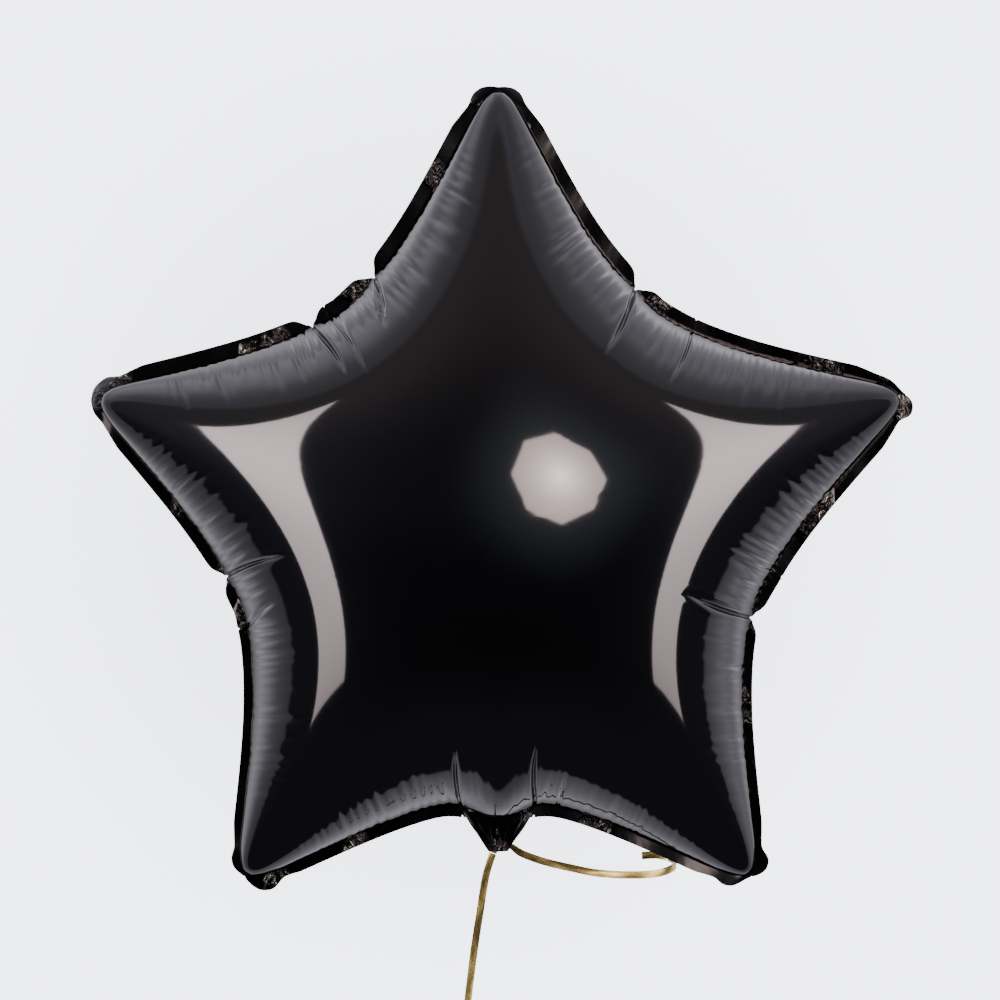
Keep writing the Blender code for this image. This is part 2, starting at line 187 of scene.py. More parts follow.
tone.color_ramp.elements[0].color = (0.115, 0.085, 0.032, 1)
tone.color_ramp.elements[1].position = 0.66
tone.color_ramp.elements[1].color = (0.86, 0.69, 0.28, 1)
tone.color_ramp.elements.new(0.51).color = (0.46, 0.33, 0.095, 1)
gold_wear_and_painted_sheen.links.new(both.outputs[0], tone.inputs["Fac"])
gold_wear_and_painted_sheen.links.new(tone.outputs["Color"], sent.inputs["Color"])
gold_wear_and_painted_sheen.links.new(both.outputs[0], sent.inputs["Height"])


def make_gold(tree, shader, place):
    """Metallised gold film on a material's shader, with its scuffs and painted bands of reflection laid
    out by place.
    """
    shader.inputs["Metallic"].default_value = 0.80
    shader.inputs["Roughness"].default_value = 0.26
    wear_and_sheen = node(tree, "ShaderNodeGroup", gold_wear_and_painted_sheen)
    tree.links.new(place, wear_and_sheen.inputs["Vector"])
    tree.links.new(wear_and_sheen.outputs["Color"], shader.inputs["Base Color"])
    bump = node(tree, "ShaderNodeBump", Strength=0.45, Distance=0.0004)
    tree.links.new(wear_and_sheen.outputs["Height"], bump.inputs["Height"])
    tree.links.new(bump.outputs["Normal"], shader.inputs["Normal"])


gold, tree, shader = new_finish("gold_ribbon")
band_place = tree.nodes.new("ShaderNodeUVMap")
band_place.uv_map = "ribbon"
stretched = node(tree, "ShaderNodeMapping", Scale=(0.30, 1.3, 1.0))
tree.links.new(band_place.outputs["UV"], stretched.inputs["Vector"])
make_gold(tree, shader, stretched.outputs["Vector"])

gold_knot, tree, shader = new_finish("gold_ribbon_knot")
coords = tree.nodes.new("ShaderNodeTexCoord")
make_gold(tree, shader, coords.outputs["Object"])
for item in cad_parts["ribbon_knot"].material_slots:
    item.material = gold_knot

drop_places = smooth_route(DROP_ROUTE, RIBBON_STEP)
turn = np.linspace(-0.25, 0.35, len(drop_places))
drop_side = np.stack((np.cos(turn), np.sin(turn), np.zeros_like(turn)), axis=1)
drop = ribbon_band("ribbon_long_run", drop_places, drop_side)
drop.data.materials.append(gold)

# The short end of the same ribbon. It runs right from the knot, lies in one slack curl
# and ends bare.
TAIL_ROUTE = (
    (0.0054, 0.0076, 0.0006), (0.0090, 0.0068, -0.0016), (0.0140, 0.0046, -0.0048),
    (0.0268, 0.0010, -0.0091), (0.0422, -0.0014, -0.0125), (0.0576, -0.0018, -0.0154),
    (0.0758, 0.0000, -0.0165), (0.0906, 0.0046, -0.0160), (0.0995, 0.0100, -0.0136),
    (0.1020, 0.0160, -0.0108), (0.0985, 0.0208, -0.0084), (0.0915, 0.0236, -0.0070),
    (0.0827, 0.0250, -0.0074),
)
tail_places = smooth_route(TAIL_ROUTE, RIBBON_STEP)
lean = np.interp(np.linspace(0, 1, len(tail_places)), (0, 0.1, 0.6, 1), (0.9, 0.35, 0.1, 0.0))
tail_side = np.stack((np.zeros_like(lean), np.sin(lean), np.cos(lean)), axis=1)
tail = ribbon_band("ribbon_short_end", tail_places, tail_side)
tail.data.materials.append(gold)

# The hand loop is a ring of the ribbon at the lower end of the long run. A small knot of
# two tight turns closes it.
LOOP_HALF_THICKNESS = 0.0011
LOOP_TILT = math.radians(38)
LOOP_NARROWING = 0.12
KNOT_WAVE = 0.0004
END_KNOT_BELOW_TOP = 0.0022
loop_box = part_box("ribbon_end_loop")
loop_low = np.array(loop_box[0])
loop_high = np.array(loop_box[1])
loop_radius = (loop_high[0] - loop_low[0]) / 2 - LOOP_HALF_THICKNESS
loop_middle = (loop_low + loop_high) / 2
loop_middle[2] = loop_low[2] + LOOP_HALF_THICKNESS + loop_radius
turns = np.linspace(0, 2 * math.pi, 72, endpoint=False)
narrowed = 1 - LOOP_NARROWING * np.cos(turns) ** 2
radial = np.stack((np.sin(turns), np.zeros_like(turns), np.cos(turns)), axis=1)
oval = np.stack((narrowed, np.ones_like(turns), np.ones_like(turns)), axis=1)
loop_places = loop_middle + loop_radius * radial * oval
loop_side = radial * math.sin(LOOP_TILT) + np.array((0.0, math.cos(LOOP_TILT), 0.0))
loop = ribbon_band("ribbon_hand_loop", loop_places, loop_side, closed=True)
loop.data.materials.append(gold)


def knot_turn(name, middle, half_sizes, spin, tip):
    """One tight turn of ribbon in a knot: an oval band, spun about the up axis and tipped."""
    angles = np.linspace(0, 2 * math.pi, 40, endpoint=False)
    oval = np.stack((half_sizes[0] * np.cos(angles), half_sizes[1] * np.sin(angles),
                     KNOT_WAVE * np.sin(2 * angles)), axis=1)
    axis = np.tile((0.0, 0.0, 1.0), (len(angles), 1))
    tipped = np.array(((1, 0, 0),
                       (0, math.cos(tip), -math.sin(tip)),
                       (0, math.sin(tip), math.cos(tip))))
    spun = np.array(((math.cos(spin), -math.sin(spin), 0),
                     (math.sin(spin), math.cos(spin), 0),
                     (0, 0, 1)))
    turned = spun @ tipped
    made = ribbon_band(name, middle + oval @ turned.T, axis @ turned.T, closed=True)
    made.data.materials.append(gold)
    return made


end_knot_middle = np.array((loop_middle[0], loop_middle[1], loop_high[2] - END_KNOT_BELOW_TOP))
end_turns = [
    knot_turn("ribbon_end_turn_a", end_knot_middle, (0.0021, 0.0017), 0.4, 0.4),
    knot_turn("ribbon_end_turn_b", end_knot_middle, (0.0018, 0.0020), 1.2, -0.7),
]


for piece, cad_node in ((drop, "ribbon_drop"), (tail, "ribbon_tail"), (loop, "ribbon_end_loop"),
                        (end_turns[0], "ribbon_end_loop"), (end_turns[1], "ribbon_end_loop")):
    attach(piece, "root")
    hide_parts(cad_node)

# The blown body is two sheets of metallised film welded round their edge. The gas draws
# each one into a smooth swelling that stands up steeply at the weld, with deep creases
# at the inner corners and fine gathers all along the rim.
TIP_RADIUS = 0.2434
HALF_DEPTH = 0.080
NECK_LENGTH = 0.0193
POINTS = 5
TIP_POWER = 0.6838
TIP_SHARPNESS = 0.9982
CORNER_POWER = 0.0516
CORNER_SHARPNESS = 0.9999
SWELL_POWER = 0.50
HARMONICS = 2000
COLUMNS = 188
CREASED_FROM = 0.76
CREASED_COLUMNS_FROM = 0.58
RINGS = 52
STEPS_PER_RING = 14
TIP_CROWDING = 1.15
UNEVEN = (
    (0.0, 0.021, 16.0),
    (30.0, 0.020, 9.0),
    (72.0, -0.012, 16.0),
    (180.0, 0.155, 6.5),
    (-72.0, -0.024, 16.0),
)
# Deep creases: bearing of the outer end, turn of the line away from the middle, length,
# depth, half width
CREASES = (
    (-26.4, 14.0, 0.030, 0.0040, 0.00070),
    (-38.6, 4.0, 0.038, 0.0024, 0.00060),
    (-42.7, 6.0, 0.034, 0.0038, 0.00070),
    (30.0, -5.0, 0.040, 0.0040, 0.00080),
    (44.4, -20.0, 0.034, 0.0026, 0.00060),
    (109.6, 2.0, 0.044, 0.0040, 0.00080),
    (99.0, 20.0, 0.014, 0.0016, 0.00060),
    (-100.2, -9.0, 0.038, 0.0040, 0.00070),
    (-111.7, -18.0, 0.026, 0.0026, 0.00060),
    (172.4, 9.0, 0.036, 0.0034, 0.00060),
    (-172.4, -12.0, 0.034, 0.0034, 0.00060),
)
GATHER_PITCH = 0.0050
GATHER_DEPTH = 0.00095
MOUTH_DROP = 0.0048
MOUTH_HALF_WIDTH = 0.0145
MOUTH_REACH = 0.013
CREST_REACH = 0.955
BEND_SHARE = 0.42
EDGE_SAMPLES = 4001
SERIES_SAMPLES = 8192
SEAM_HALF_GAP = 0.00010
MERGE_DISTANCE = 0.000005


def stretch(w):
    """Rate at which the disc is drawn out into the star at the complex place w."""
    turned = w ** POINTS
    tips = (1 - TIP_SHARPNESS * turned) ** (-TIP_POWER)
    corners = (1 + CORNER_SHARPNESS * turned) ** CORNER_POWER
    return tips * corners


def running_sum(values, places):
    """Running trapezium sum of values over places, starting at zero."""
    steps = (values[1:] + values[:-1]) / 2 * np.diff(places)
    return np.concatenate(([0], np.cumsum(steps)))


q = np.linspace(0, 1, EDGE_SAMPLES)
to_tip = running_sum(stretch(1 - q ** 3) * 3 * q ** 2, q)[-1].real
edge_angle = math.pi / POINTS * q ** 3
edge_rim = np.exp(1j * edge_angle)
plan_scale = TIP_RADIUS / to_tip
edge_place = (to_tip + running_sum(stretch(edge_rim) * 1j * edge_rim, edge_angle)) * plan_scale
edge_length = np.concatenate(([0], np.cumsum(np.abs(np.diff(edge_place)))))
side_length = edge_length[-1]


def uneven(plan):
    """Small radial changes that make the five arms unlike."""
    bearing = np.degrees(np.angle(plan))
    total = np.zeros(plan.shape)
    for degrees, amount, spread in UNEVEN:
        off = (bearing - degrees + 180) % 360 - 180
        total = total + amount * np.exp(-(off / spread) ** 2)
    return plan * (1 + total * np.clip(np.abs(plan) / TIP_RADIUS, 0, 1) ** 2)


lower_corner = abs(uneven(np.array([-abs(edge_place[-1]) + 0j]))[0])
CENTRE_HEIGHT = NECK_LENGTH + lower_corner

folded = np.arange(SERIES_SAMPLES) * 2 * math.pi / SERIES_SAMPLES
folded = np.minimum(folded, 2 * math.pi - folded) / POINTS
edge_squared = np.interp(folded, edge_angle, np.abs(edge_place) ** 2)
series = np.fft.rfft(edge_squared).real / SERIES_SAMPLES
lift_scale = HALF_DEPTH / (series[0] / 4) ** SWELL_POWER

# One arm's grid of plan places: columns from the weld to the arm's middle line
index = np.arange(-COLUMNS, COLUMNS + 1)
share = np.interp(np.abs(index) / COLUMNS, (0, CREASED_COLUMNS_FROM, 1),
                  (0, CREASED_FROM ** (1 / TIP_CROWDING), 1))
lengths = side_length * np.sign(index) * share ** TIP_CROWDING
sign = np.where(lengths < 0, -1.0, 1.0)
seam = (np.interp(np.abs(lengths), edge_length, edge_place.real)
        + 1j * sign * np.interp(np.abs(lengths), edge_length, edge_place.imag))
disc = np.exp(1j * sign * np.interp(np.abs(lengths), edge_length, edge_angle))
outward = disc * stretch(disc)
outward = outward / np.abs(outward)
crest = CREST_REACH * TIP_RADIUS * (1 - 0.5 * share - 0.5 * share ** 3)
reach = np.abs(seam - crest)
power = 1.45 + 0.5 * np.sqrt(reach / reach.max())
bend = seam - outward * reach * BEND_SHARE
disc_grid = [disc]
plan_grid = [seam]
place = seam.copy()
for step in range(1, RINGS * STEPS_PER_RING + 1):
    t = (step / (RINGS * STEPS_PER_RING)) ** power
    new = (1 - t) ** 2 * seam + 2 * t * (1 - t) * bend + t ** 2 * crest
    half = disc + (new - place) / 2 / (stretch(disc) * plan_scale)
    disc = disc + (new - place) / (stretch(half) * plan_scale)
    place = new
    if step % STEPS_PER_RING == 0:
        disc_grid.append(disc)
        plan_grid.append(place)
disc_grid = np.stack(disc_grid, axis=1)
plan_grid = np.stack(plan_grid, axis=1)
plan_grid[:, -1] = crest

turned = disc_grid ** POINTS
grown = np.ones_like(turned)
field = np.full(disc_grid.shape, series[0])
slope = np.zeros_like(turned)
for n in range(1, HARMONICS):
    slope = slope + 2 * series[n] * n * grown
    grown = grown * turned
    field = field + 2 * series[n] * grown.real
slope = slope * POINTS * disc_grid ** (POINTS - 1) / (stretch(disc_grid) * plan_scale)
lift = np.maximum((field - np.abs(plan_grid) ** 2) / 4, 0)
slope = (slope.conj() - 2 * plan_grid) / 4
lift[:, 0] = 0
height = lift_scale * lift ** SWELL_POWER
rise = lift_scale * SWELL_POWER * np.maximum(lift, 1e-9) ** (SWELL_POWER - 1) * slope
steep = np.sqrt(1 + np.abs(rise) ** 2)
normal_plan = -rise / steep
normal_up = 1 / steep
normal_plan[:, 0] = outward
normal_up[:, 0] = 0
inward = np.abs(plan_grid - seam[:, None])


def crease_start(degrees):
    """The place on the weld where a crease of this bearing starts."""
    arm = round(degrees / 72.0)
    local = degrees - 72.0 * arm
    along_edge = np.interp(abs(local), np.degrees(np.angle(edge_place)), edge_length)
    start = (np.interp(along_edge, edge_length, edge_place.real)
             + 1j * math.copysign(1, local) * np.interp(along_edge, edge_length, edge_place.imag))
    return start * np.exp(1j * math.radians(72.0 * arm))


def crease_dent(plan):
    """Depth of the deep creases at plan places."""
    total = np.zeros(plan.shape)
    for degrees, turn_away, length, depth, half_width in CREASES:
        start = crease_start(degrees)
        heading = -start / abs(start) * np.exp(1j * math.radians(turn_away))
        relative = (plan - start) / heading
        along = relative.real / length
        inside = np.clip(along, 0, 1)
        opened = half_width * (0.8 + 0.9 * np.sin(math.pi * inside ** 1.4))
        off = np.abs(relative.imag + 0.0016 * np.sin(math.pi * inside)) / opened
        ends = np.clip(1 - inside, 0, 1) ** 0.6 * np.clip(1 + along * length / 0.004, 0, 1)
        shape = np.exp(-off ** 1.3) - 0.10 * np.exp(-((off - 2.9) / 1.4) ** 2)
        total = total + depth * shape * ends * (0.45 + 0.55 * np.clip(along * length / 0.007, 0, 1))
    return total


def drawn_down(plan, depth_in):
    """Plan places with the rim over the neck drawn down towards the tie."""
    near = np.exp(-(plan.imag / MOUTH_HALF_WIDTH) ** 2 - (depth_in / MOUTH_REACH) ** 2) * (plan.real < 0)
    return plan - MOUTH_DROP * near


def gather_dent(seed, arm):
    """Depth of the fine gathers along one arm's two sides."""
    draw = np.random.default_rng(seed * 10 + arm)
    total = np.zeros(inward.shape)
    for side in (-1, 1):
        middle = side_length * draw.uniform(0.17, 0.24)
        while middle < side_length * 0.985:
            pitch = draw.uniform(GATHER_PITCH * 0.75, GATHER_PITCH * 1.35)
            swell_in = np.clip((middle / side_length - 0.15) / 0.35, 0, 1)
            length = draw.uniform(0.018, 0.036) * (0.55 + 0.45 * swell_in)
            depth = draw.uniform(0.20, 1.0) * GATHER_DEPTH * swell_in
            skew = draw.uniform(-0.06, 0.06)
            off = (side * lengths[:, None] - middle - skew * inward) / (pitch * 0.32)
            along = np.clip(inward / length, 0, 1)
            body = 0.45 * (1 - along) + np.sin(math.pi * along ** 0.7)
            total = total + depth * np.exp(-off ** 2) * np.clip(body, 0, None) * (1 - along ** 4)
            middle += pitch
    return total


def film_sheet(name, facing, seed):
    """One blown sheet, as a grid of the five arms joined at their shared columns."""
    bm = bmesh.new()
    for arm in range(POINTS):
        around = np.exp(2j * math.pi * arm / POINTS)
        there = plan_grid * around
        over_neck = np.exp(-(there.imag / 0.027) ** 4) * (there.real < 0)
        dent = crease_dent(there) + gather_dent(seed, arm) * (1 - 0.85 * over_neck)
        dent[:, -1] = 0
        plan = drawn_down(uneven((plan_grid - dent * normal_plan) * around), inward)
        deep = np.maximum(height - dent * normal_up, SEAM_HALF_GAP)
        deep[:, 0] = SEAM_HALF_GAP
        points = np.stack((plan.imag, facing * deep, plan.real + CENTRE_HEIGHT), axis=-1)
        rows = [[bm.verts.new(point) for point in row] for row in points]
        for left, right in zip(rows, rows[1:]):
            for k in range(RINGS):
                corners = (left[k], left[k + 1], right[k + 1], right[k])
                bm.faces.new(corners if facing < 0 else corners[::-1])
    bmesh.ops.remove_doubles(bm, verts=bm.verts, dist=MERGE_DISTANCE)
    bmesh.ops.recalc_face_normals(bm, faces=bm.faces)
    middle = max(bm.faces, key=lambda face: abs(face.calc_center_median().y))
    if middle.normal.y * facing < 0:
        bmesh.ops.reverse_faces(bm, faces=bm.faces)
    mesh = bpy.data.meshes.new(name)
    bm.to_mesh(mesh)
    bm.free()
    mesh.shade_smooth()
    sheet = bpy.data.objects.new(name, mesh)
    bpy.context.scene.collection.objects.link(sheet)
    return sheet


foil, tree, shader = new_finish("black_foil")
shader.inputs["Metallic"].default_value = 1.0
shader.inputs["Base Color"].default_value = (0.090, 0.085, 0.091, 1)
shader.inputs["Roughness"].default_value = 0.05
coords = tree.nodes.new("ShaderNodeTexCoord")
slack = node(tree, "ShaderNodeTexNoise", Scale=26.0, Detail=2.0, Roughness=0.5)
tree.links.new(coords.outputs["Object"], slack.inputs["Vector"])
bump = node(tree, "ShaderNodeBump", Strength=0.035, Distance=0.0010)
tree.links.new(slack.outputs["Fac"], bump.inputs["Height"])
tree.links.new(bump.outputs["Normal"], shader.inputs["Normal"])

front_sheet = film_sheet("front_sheet", -1, 3)
back_sheet = film_sheet("back_sheet", 1, 8)

# The welded flange is the flat rim left outside the weld. It is thin, wavy and covered
# with small crinkles, and it stands out in rounded lobes beside the points.
FLANGE_WIDTH = 0.0072
FLANGE_WAVE = 0.00022
FLANGE_LEAN = 0.0013
WAVE_LENGTH = 0.034
PINCH = 0.0060
# Share of the full width before and after each tip, going clockwise from the top
SIDE_WIDTHS = ((1.05, 0.95), (0.90, 0.85), (0.62, 0.80), (0.80, 0.66), (0.80, 1.05))
FLANGE_ACROSS = 6
FLANGE_THICKNESS = 0.00030
FLANGE_UNDERLAP = 0.0004
PINCHING_DEPTH = 0.0036
# Lobes beside each tip, before and after it going clockwise: reach, middle, half length
# and how far the lobe curls back
LOBES = (
    ((0.0030, 0.0085, 0.0058, 0.0030), (0.0024, 0.0080, 0.0052, 0.0034)),
    ((0.0006, 0.0100, 0.0050, 0.0000), (0.0056, 0.0050, 0.0052, 0.0036)),
    ((0.0052, 0.0075, 0.0060, 0.0000), (0.0036, 0.0110, 0.0060, 0.0000)),
    ((0.0062, 0.0100, 0.0076, 0.0000), (0.0026, 0.0080, 0.0056, 0.0000)),
    ((0.0026, 0.0040, 0.0064, 0.0020), (0.0044, 0.0055, 0.0072, 0.0052)),
)


def flange_width(arm):
    """Width of the flange, pinched at the deep creases, and how far its lobes curl back."""
    from_tip = np.abs(lengths)
    places = seam * np.exp(2j * math.pi * arm / POINTS)
    open_share = np.ones(lengths.shape)
    for degrees, _, _, depth, _ in CREASES:
        if depth > PINCHING_DEPTH:
            away = np.abs(places - crease_start(degrees))
            open_share = np.minimum(open_share, 1 - np.exp(-(away / PINCH) ** 2))
    over_neck = np.exp(-(places.imag / 0.017) ** 4) * (places.real < 0)
    width = FLANGE_WIDTH * (0.08 + 0.92 * open_share) * (1 - 0.85 * over_neck)
    before, after = SIDE_WIDTHS[arm]
    tip_share = (before + after) / 2
    stops = (0, 0.020, side_length - 0.020, side_length)
    for side, own, beyond in ((-1, before, SIDE_WIDTHS[arm - 1][1]),
                              (1, after, SIDE_WIDTHS[(arm + 1) % POINTS][0])):
        shares = np.interp(from_tip, stops, (tip_share, own, own, (own + beyond) / 2))
        width = np.where(side * lengths >= 0, width * shares, width)
    width = width * (0.32 + 0.68 * np.clip(from_tip / 0.030, 0, 1))
    curl = np.zeros(lengths.shape)
    for side, (lobe, middle, spread, back) in zip((-1, 1), LOBES[arm]):
        shape = np.exp(-np.abs((side * lengths - middle) / spread) ** 2.6)
        width = width + lobe * shape
        curl = curl + back * shape
    return width, curl


def welded_flange(name):
    """The flange as one thin closed band round the star."""
    bm = bmesh.new()
    for arm in range(POINTS):
        around = np.exp(2j * math.pi * arm / POINTS)
        root = seam - crease_dent(seam * around) * outward
        width, curl = flange_width(arm)
        calm = np.clip((side_length - np.abs(lengths)) / 0.025, 0, 1)
        travelled = 2 * side_length * arm + lengths
        swing = FLANGE_WAVE * calm * np.sin(2 * math.pi * travelled / WAVE_LENGTH)
        lean = FLANGE_LEAN * (root * around).imag / TIP_RADIUS
        rows = []
        for side in (-1, 1):
            for k in range(FLANGE_ACROSS + 1):
                out = k / FLANGE_ACROSS
                if side > 0:
                    out = 1 - out
                plan = uneven((root + outward * (width * out - FLANGE_UNDERLAP * (1 - out))) * around)
                plan = drawn_down(plan, 0.0)
                ripple = 0.00002 * np.sin(2 * math.pi * travelled / 0.0061 + 4 * out) * out * calm
                depth = (swing - lean) * out + ripple + curl * out ** 1.6 + side * FLANGE_THICKNESS / 2
                rows.append(np.stack((plan.imag, depth, plan.real + CENTRE_HEIGHT), axis=-1))
        rows = np.stack(rows, axis=1)
        verts = [[bm.verts.new(point) for point in row] for row in rows]
        for left, right in zip(verts, verts[1:]):
            for k in range(len(left)):
                after = (k + 1) % len(left)
                bm.faces.new((left[k], left[after], right[after], right[k]))
    bmesh.ops.remove_doubles(bm, verts=bm.verts, dist=MERGE_DISTANCE)
    bmesh.ops.recalc_face_normals(bm, faces=bm.faces)
    mesh = bpy.data.meshes.new(name)
    bm.to_mesh(mesh)
    bm.free()
    mesh.shade_smooth()
    mesh.set_sharp_from_angle(angle=math.radians(50))
    made = bpy.data.objects.new(name, mesh)
    bpy.context.scene.collection.objects.link(made)
    return made


crinkles, given, sent = shader_group("crinkles", (("Vector", "NodeSocketVector"),
                                                  ("Patch From", "NodeSocketFloat"),
                                                  ("Patch To", "NodeSocketFloat")),
                                     (("Color", "NodeSocketColor"), ("Height", "NodeSocketFloat")))
crinkle = node(crinkles, "ShaderNodeTexNoise", Scale=190.0, Detail=2.5, Roughness=0.55,
               Distortion=1.2)
crinkles.links.new(given.outputs["Vector"], crinkle.inputs["Vector"])
patches = node(crinkles, "ShaderNodeTexNoise", Scale=30.0, Detail=1.0, Roughness=0.5)
crinkles.links.new(given.outputs["Vector"], patches.inputs["Vector"])
where = crinkles.nodes.new("ShaderNodeMapRange")
crinkles.links.new(patches.outputs["Fac"], where.inputs["Value"])
crinkles.links.new(given.outputs["Patch From"], where.inputs["From Min"])
crinkles.links.new(given.outputs["Patch To"], where.inputs["From Max"])
# Brighter shards in the colour, where the crinkle noise runs high, are painted glints; the same noise
# over the patches gives the crinkle bumps.
glint_facets = node(crinkles, "ShaderNodeMapRange", From_Min=0.55, From_Max=0.63)
crinkles.links.new(crinkle.outputs["Fac"], glint_facets.inputs["Value"])
glint_shards = crinkles.nodes.new("ShaderNodeMath")
glint_shards.operation = "MULTIPLY"
crinkles.links.new(glint_facets.outputs["Result"], glint_shards.inputs[0])
crinkles.links.new(where.outputs["Result"], glint_shards.inputs[1])
painted_glint_tone = crinkles.nodes.new("ShaderNodeValToRGB")
painted_glint_tone.color_ramp.elements[0].color = (0.034, 0.031, 0.032, 1)
painted_glint_tone.color_ramp.elements[1].color = (0.34, 0.31, 0.28, 1)
crinkles.links.new(glint_shards.outputs["Value"], painted_glint_tone.inputs["Fac"])
crinkles.links.new(painted_glint_tone.outputs["Color"], sent.inputs["Color"])
crushed = crinkles.nodes.new("ShaderNodeMath")
crushed.operation = "MULTIPLY"
crinkles.links.new(crinkle.outputs["Fac"], crushed.inputs[0])
crinkles.links.new(where.outputs["Result"], crushed.inputs[1])
crinkles.links.new(crushed.outputs["Value"], sent.inputs["Height"])


def crinkled_film_with_painted_glints(name, patch_from, patch_to, strength):
    """Black film with crinkles and painted glints where a slow noise lies above the patch values."""
    made, tree, shader = new_finish(name)
    shader.inputs["Metallic"].default_value = 1.0
    shader.inputs["Roughness"].default_value = 0.14
    coords = tree.nodes.new("ShaderNodeTexCoord")
    film = node(tree, "ShaderNodeGroup", crinkles, Patch_From=patch_from, Patch_To=patch_to)
    tree.links.new(coords.outputs["Object"], film.inputs["Vector"])
    tree.links.new(film.outputs["Color"], shader.inputs["Base Color"])
    bump = node(tree, "ShaderNodeBump", Strength=strength, Distance=0.0026)
    tree.links.new(film.outputs["Height"], bump.inputs["Height"])
    tree.links.new(bump.outputs["Normal"], shader.inputs["Normal"])
    return made


weld = crinkled_film_with_painted_glints("crinkled_weld", 0.56, 0.68, 1.0)
flange = welded_flange("welded_flange")

# The neck is the filling tail of the film, gathered in folds and tied at the foot of the
# body, where it narrows to a flat end.
NECK_TOP_HALF_WIDTH = 0.0208
NECK_TOP_HALF_DEPTH = 0.0075
NECK_TIP_HALF_WIDTH = 0.0054
NECK_TIP_HALF_DEPTH = 0.0027
NECK_TOP = NECK_LENGTH + 0.012
NECK_STRAIGHT = 0.34
NECK_BOTTOM = -0.0030
NECK_AROUND = 168
NECK_STATIONS = 48


def gathered_neck(name):
    """A funnel of folded film that narrows to the tie and ends in a flat fold."""
    bm = bmesh.new()
    rows = []
    for t in np.linspace(0, 1, NECK_STATIONS):
        level = NECK_TOP + (NECK_BOTTOM - NECK_TOP) * t
        narrow = max(t - NECK_STRAIGHT, 0) / (1 - NECK_STRAIGHT)
        half_width = NECK_TOP_HALF_WIDTH + (NECK_TIP_HALF_WIDTH - NECK_TOP_HALF_WIDTH) * narrow
        half_depth = NECK_TOP_HALF_DEPTH + (NECK_TIP_HALF_DEPTH - NECK_TOP_HALF_DEPTH) * narrow
        row = []
        for k in range(NECK_AROUND):
            around = 2 * math.pi * k / NECK_AROUND
            # Seven broad folds, then finer ones and a slow crumple down the length
            folds = (0.5 - 0.5 * math.cos(7 * around + 0.8 * math.sin(3 * around + 2 * t))) * 0.20
            folds += 0.07 * math.sin(13 * around + 3.4 * t) + 0.045 * math.sin(29 * around - 6 * t)
            folds += 0.05 * math.sin(9 * t + 2.3 * math.sin(4 * around))
            size = 1 - narrow * folds
            row.append(bm.verts.new((half_width * math.cos(around) * size,
                                     half_depth * math.sin(around) * size, level)))
        rows.append(row)
    for upper, lower in zip(rows, rows[1:]):
        for k in range(NECK_AROUND):
            after = (k + 1) % NECK_AROUND
            bm.faces.new((upper[k], upper[after], lower[after], lower[k]))
    bm.faces.new(rows[0])
    bm.faces.new(rows[-1])
    bmesh.ops.recalc_face_normals(bm, faces=bm.faces)
    mesh = bpy.data.meshes.new(name)
    bm.to_mesh(mesh)
    bm.free()
    mesh.shade_smooth()
    mesh.set_sharp_from_angle(angle=math.radians(60))
    made = bpy.data.objects.new(name, mesh)
    bpy.context.scene.collection.objects.link(made)
    return made


gathered = crinkled_film_with_painted_glints("gathered_film", 0.46, 0.66, 0.9)
neck = gathered_neck("gathered_neck")
for piece, finish in ((front_sheet, foil), (back_sheet, foil), (flange, weld), (neck, gathered)):
    piece.data.materials.append(finish)
    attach(piece, "root")
    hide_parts("foil_envelope")

# The studio: a pale wall behind the balloon, a pale floor well below it, an eight-sided
# softbox beside the camera and a tall light on either side.
WALL_DISTANCE = 0.55
FLOOR_LEVEL = -0.90
SOFTBOX_RADIUS = 0.355
SOFTBOX_PLACE = (0.45, -2.0, 0.55)
STRIP_BEARING = math.radians(48.0)
STRIP_REACH = 1.5
STRIP_HEIGHT = 1.8
STRIP_LEVEL = 0.37
# The level of a strip's outer top corner on its own plane, where the inner one is 0.5
OUTER_TOP = 0.17
# A curve node's values end at 1, so strengths are divided by this and scaled up again
CURVE_TOP = 20.0


def stage_plane(name, size, location, rotation, finish):
    """A flat stage piece."""
    bpy.ops.mesh.primitive_plane_add(size=1, location=location, rotation=rotation)
    made = bpy.context.object
    made.name = name
    made.scale = (size[0], size[1], 1)
    made.data.materials.append(finish)
    return made


